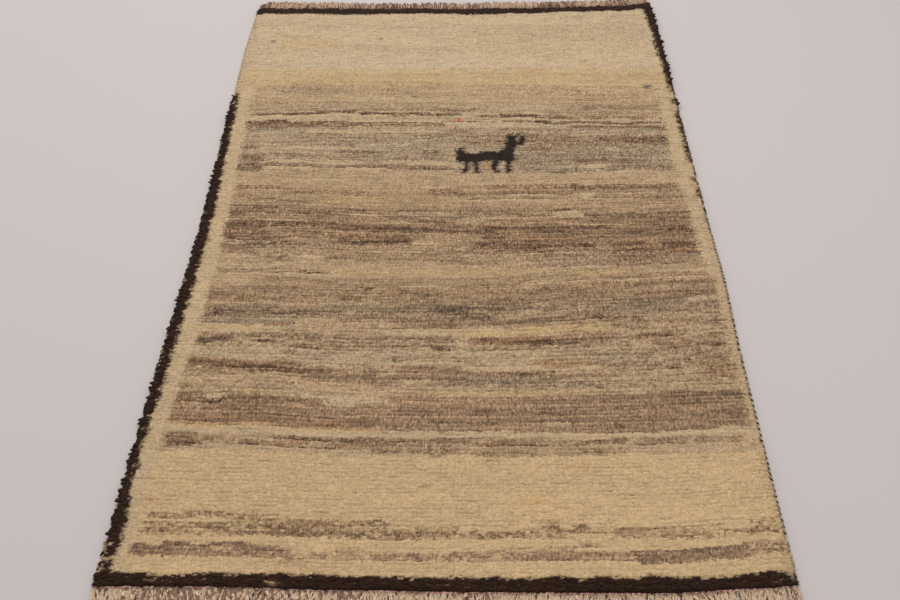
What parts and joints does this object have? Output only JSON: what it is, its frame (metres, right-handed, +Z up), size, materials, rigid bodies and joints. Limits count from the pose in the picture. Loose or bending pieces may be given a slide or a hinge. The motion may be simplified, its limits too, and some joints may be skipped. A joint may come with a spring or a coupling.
{
  "type": "gabbeh rug",
  "caption": "Flat rectangular hand-knotted wool rug, thick lumpy pile with shaggy rim, overcast side cords and a looped warp fringe at each end.",
  "frame": {"origin": "on the floor under the middle of the rug", "axes": "+Z up through the pile, +Y along the rug's length away from the near end, +X to the right across it"},
  "size_m": [1.0273, 1.7411, 0.015],
  "materials": {
    "pile_wool": "matt hand-spun wool pile in cream, with mottled grey-brown and taupe stripes and a dark brown border",
    "dark_overcast_yarn": "matt dark brown wool overcasting with cream stitches",
    "light_overcast_yarn": "matt cream wool overcasting with dark brown stitches",
    "warp_yarn": "plied cream and pinkish brown wool warps, matt"
  },
  "bodies": {
    "root": {"knotted_field": "pile_wool", "selvedge_left": "dark_overcast_yarn", "selvedge_right": "light_overcast_yarn", "fringe_near": "warp_yarn", "fringe_far": "warp_yarn"}
  },
  "joints": []
}
